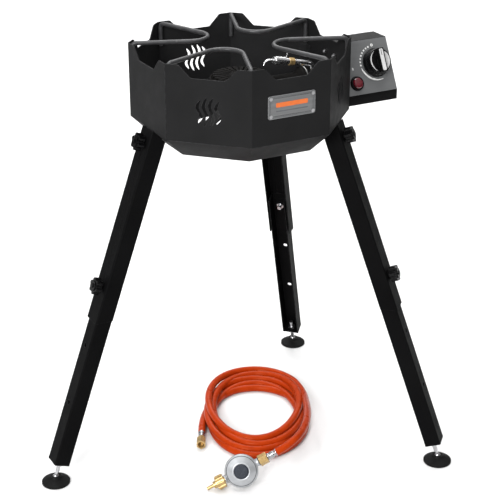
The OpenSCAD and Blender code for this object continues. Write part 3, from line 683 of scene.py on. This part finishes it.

# ---------- control box: dial marks, the knob's silver inlay with a painted reflection and a painted edge highlight, and its pointer ---
dial = fascia_frame(KNOB_X, KNOB_V)
ink_low, ink_high = 1.2, 1.4
marks = [sector(0, 0, 30.4, 33.6, 105 + 11 * i - 2.6, 105 + 11 * i + 2.6, 4) for i in range(8)]
marks.append(sector(0, 0, lambda u: 32.4 - 2.8 * math.sin(math.pi * u**0.8) ** 0.8, 33, 190, 288, 30))
ring = sector(0, 33.6, 1.2, 2.7, 0, 350, 28)
tick = rounded_rect(-51.5, -8, -49.3, -3, 0.8)
verts, faces = prisms([*marks, ring, tick], dial, ink_low, ink_high)
link("dial_marks", new_mesh("dial_marks", verts, faces, False), "white_ink", "stand")

BAR_TOP = 29.0
FACE_Z = 20.0
# on the knob's face, the silver half disc on the right is a painted reflection and the thin crescent on the
# left a painted edge highlight; the plate on the bar is its silver top inlay
reflection_half_disc = [(20.4 * math.cos(math.radians(a)), 20.4 * math.sin(math.radians(a))) for a in range(-68, 69, 4)]
highlight_crescent = sector(0, 0, lambda u: 20.9 - 2.2 * math.sin(math.pi * u), 21, 118, 242, 24)
verts, faces = joined([
    prisms([rounded_rect(-3.9, -20.2, 3.9, 20.2, 2.2)], dial, BAR_TOP - 0.05, BAR_TOP + 0.35),
    prisms([reflection_half_disc], dial, FACE_Z - 0.05, FACE_Z + 0.3),
    prisms([highlight_crescent], dial, FACE_Z - 0.05, FACE_Z + 0.45),
])
link("knob_inlays_and_highlights", new_mesh("knob_inlays_and_highlights", verts, faces, False), "knob_silver_and_highlight", "gas_knob")
verts, faces = prisms([rounded_rect(-0.6, 8, 0.6, 19, 0.5)], dial, BAR_TOP + 0.3, BAR_TOP + 0.45)
link("knob_pointer", new_mesh("knob_pointer", verts, faces, False), "hollow_black", "gas_knob")

# ---------- regulator: dark rings of painted shade at the rim seam, at a crease on its face and by its nut, and the embossed cap ---
# dark grey rings at the rim seam and at a crease on the face: painted shade of their grooves
RIM_SHADE_BAND = ((0.1, 31.2), (0.1, 31.75), (1.9, 31.75), (1.9, 31.2))
FACE_SEAM_SHADE = ((5.7, 28.6), (6.25, 28.5), (6.45, 27.7), (6.0, 27.4))
seam_shade_rings = joined([lathe(profile, disc, 72, "Z") for profile in (RIM_SHADE_BAND, FACE_SEAM_SHADE)])
link("regulator_seam_shade", new_mesh("regulator_seam_shade", *seam_shade_rings), "seam_shade_grey", "stand")
relief = [sector(0, 0, 9.0, 10.2, 0, 359.9, 40)]
relief += [sector(0, 0, 3.2, 7.2, a - 9, a + 9, 4) for a in range(0, 360, 60)]
verts, faces = prisms(relief, disc, 13.9, 14.35)
link("cap_relief", new_mesh("cap_relief", verts, faces, False), "cap_slate", "stand")
# a dark ring round the end of the hose neck: painted shade in the gap between the neck and the nut
verts, faces = lathe([(36.4, 6.0), (36.4, 8.0), (37.95, 8.0), (37.95, 6.0)], reg_frame, 40)
link("nut_gap_shade", new_mesh("nut_gap_shade", verts, faces), "seam_shade_grey", "stand")

# ---------- badge: a border and two plain bands ----------
badge = panel_frame(0, APOTHEM + 0.02, RIM - 69)
w, h = 46.0, 20.5
frame_out = rounded_rect(-w + 1.6, -h + 1.6, w - 1.6, h - 1.6, 3)


def strip_ring(outer, inner):
    """The ring between two outlines with the same number of points, as quads."""
    n = len(outer)
    return [[outer[i], outer[(i + 1) % n], inner[(i + 1) % n], inner[i]] for i in range(n)]


frame_in = rounded_rect(-w + 2.8, -h + 2.8, w - 2.8, h - 2.8, 2.2)
verts, faces = prisms(strip_ring(frame_out, frame_in), badge, 1.2, 1.35)
link("badge_border", new_mesh("badge_border", verts, faces, False), "grey_ink", "stand")
verts, faces = prisms([rounded_rect(-31, -0.5, 31, 7.5, 2)], badge, 1.2, 1.45)
link("badge_band_wide", new_mesh("badge_band_wide", verts, faces, False), "orange_ink", "stand")
verts, faces = prisms([rounded_rect(-31, -8.5, 31, -6.5, 0.8)], badge, 1.2, 1.4)
narrow = new_mesh("badge_band_narrow", verts, faces, False)
link("badge_band_narrow", narrow, "grey_ink", "stand")

# ---------- softened edges ----------
for node, width in (
    ("windscreen_front", 0.5), ("windscreen_rear", 0.5), ("base_pan", 0.4), ("control_housing", 0.5),
    ("control_fascia", 0.3), ("burner_strap", 0.6), ("burner_cap", 0.5), ("burner_bowl", 0.8),
    ("gas_knob", 0.7), ("igniter_case", 0.5), ("badge_plate", 0.25), ("stove_nut", 0.6),
    ("regulator_nut", 0.6), ("regulator_cap", 0.5), ("cylinder_nut", 0.4),
    ("igniter_nut", 0.4), ("gas_inlet", 0.3), ("air_shutter", 0.2), ("igniter_holder", 0.4),
    *[(p + s, b) for s in SIDES for p, b in (
        ("outer_leg_", 0.5), ("inner_leg_", 0.5), ("top_knob_", 1.0), ("height_knob_", 1.0),
        ("foot_pad_", 0.5), ("leg_fixings_", 0.4), ("foot_stud_", 0.2))],
):
    soften(node, width * MM)

# ---------- floor and light ----------
def stage_mesh(name, verts, faces, material):
    """A piece of the surroundings, which isn't part of the object."""
    obj = bpy.data.objects.new(name, new_mesh(name, verts, faces, False))
    bpy.context.scene.collection.objects.link(obj)
    obj.data.materials.append(material)
    return obj


FLOOR = 6.0
floor_mat = finish("floor_white", (0.75, 0.75, 0.75), 0.7, spec=0.2, grain=(60, 0.02), mottle=(3, 0.01))
floor_corners = [(-FLOOR, -FLOOR, 0), (FLOOR, -FLOOR, 0), (FLOOR, FLOOR, 0), (-FLOOR, FLOOR, 0)]
stage_mesh("floor", floor_corners, [(0, 1, 2, 3)], floor_mat)


def area_light(name, at, look, size, power):
    data = bpy.data.lights.new(name, "AREA")
    data.shape = "RECTANGLE"
    data.size, data.size_y = size
    data.energy = power
    obj = bpy.data.objects.new(name, data)
    bpy.context.scene.collection.objects.link(obj)
    obj.location = at
    obj.rotation_euler = (Vector(look) - Vector(at)).to_track_quat("-Z", "Y").to_euler()
    return obj


area_light("key_left", (-2.6, -2.3, 2.1), (0, 0, 0.5), (1.4, 1.4), 150)
area_light("top_soft", (0.2, 0.3, 3.2), (0, 0, 0), (2.4, 2.4), 75)
area_light("floor_behind", (1.4, 2.9, 3.0), (1.4, 2.9, 0), (3.0, 3.0), 120)
world = bpy.data.worlds.new("studio")
world.use_nodes = True
wn, wl = world.node_tree.nodes, world.node_tree.links
sky = wn.new("ShaderNodeTexCoord")
split = wn.new("ShaderNodeSeparateXYZ")
wl.new(sky.outputs["Generated"], split.inputs[0])
back = wn["Background"]
back.inputs["Color"].default_value = (1, 1, 1, 1)
rise = ramp(wn, wl, split.outputs["Z"], 0.0, 0.7, 0.15, 0.8)
sides = ramp(wn, wl, split.outputs["X"], -1.0, 1.0, 1.25, 0.45)
both = wn.new("ShaderNodeMath")
both.operation = "MULTIPLY"
wl.new(rise, both.inputs[0])
wl.new(sides, both.inputs[1])
wl.new(both.outputs[0], back.inputs["Strength"])
bpy.context.scene.world = world
bpy.context.scene.view_settings.view_transform = "Standard"
bpy.context.scene.view_settings.look = "None"
